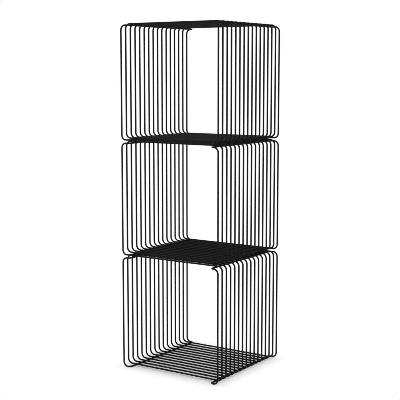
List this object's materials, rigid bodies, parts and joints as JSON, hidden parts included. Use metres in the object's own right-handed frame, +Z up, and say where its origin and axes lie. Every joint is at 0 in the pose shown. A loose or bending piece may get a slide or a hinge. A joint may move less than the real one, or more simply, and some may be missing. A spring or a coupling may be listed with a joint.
{
  "type": "wire shelving unit",
  "caption": "Tall narrow shelving unit of stacked black wire cubes, open front and back: closed wire hoops welded on hooked side frames. The cubes lift off one another.",
  "frame": {"origin": "on the floor, in the middle of the footprint", "axes": "+X to the right seen from the front, +Y to the back, +Z up"},
  "size_m": [0.348, 0.348, 1.0446],
  "materials": {
    "black_powder_coat": "matt powder coat on steel wire"
  },
  "bodies": {
    "lower_cube": {"lower_hoop_01": "black_powder_coat", "lower_hoop_02": "black_powder_coat", "lower_hoop_03": "black_powder_coat", "lower_hoop_04": "black_powder_coat", "lower_hoop_05": "black_powder_coat", "lower_hoop_06": "black_powder_coat", "lower_hoop_07": "black_powder_coat", "lower_hoop_08": "black_powder_coat", "lower_hoop_09": "black_powder_coat", "lower_hoop_10": "black_powder_coat", "lower_hoop_11": "black_powder_coat", "lower_hoop_12": "black_powder_coat", "lower_hoop_13": "black_powder_coat", "lower_hoop_14": "black_powder_coat", "lower_left_frame": "black_powder_coat", "lower_right_frame": "black_powder_coat"},
    "middle_cube": {"middle_hoop_01": "black_powder_coat", "middle_hoop_02": "black_powder_coat", "middle_hoop_03": "black_powder_coat", "middle_hoop_04": "black_powder_coat", "middle_hoop_05": "black_powder_coat", "middle_hoop_06": "black_powder_coat", "middle_hoop_07": "black_powder_coat", "middle_hoop_08": "black_powder_coat", "middle_hoop_09": "black_powder_coat", "middle_hoop_10": "black_powder_coat", "middle_hoop_11": "black_powder_coat", "middle_hoop_12": "black_powder_coat", "middle_hoop_13": "black_powder_coat", "middle_hoop_14": "black_powder_coat", "middle_left_frame": "black_powder_coat", "middle_right_frame": "black_powder_coat"},
    "upper_cube": {"upper_hoop_01": "black_powder_coat", "upper_hoop_02": "black_powder_coat", "upper_hoop_03": "black_powder_coat", "upper_hoop_04": "black_powder_coat", "upper_hoop_05": "black_powder_coat", "upper_hoop_06": "black_powder_coat", "upper_hoop_07": "black_powder_coat", "upper_hoop_08": "black_powder_coat", "upper_hoop_09": "black_powder_coat", "upper_hoop_10": "black_powder_coat", "upper_hoop_11": "black_powder_coat", "upper_hoop_12": "black_powder_coat", "upper_hoop_13": "black_powder_coat", "upper_hoop_14": "black_powder_coat", "upper_left_frame": "black_powder_coat", "upper_right_frame": "black_powder_coat"}
  },
  "joints": [
    {"name": "middle_lift", "type": "slide", "parent": "lower_cube", "child": "middle_cube", "axis": [0, 0, 1], "range_m": [0, 0.348]},
    {"name": "upper_lift", "type": "slide", "parent": "middle_cube", "child": "upper_cube", "axis": [0, 0, 1], "range_m": [0, 0.348]}
  ]
}
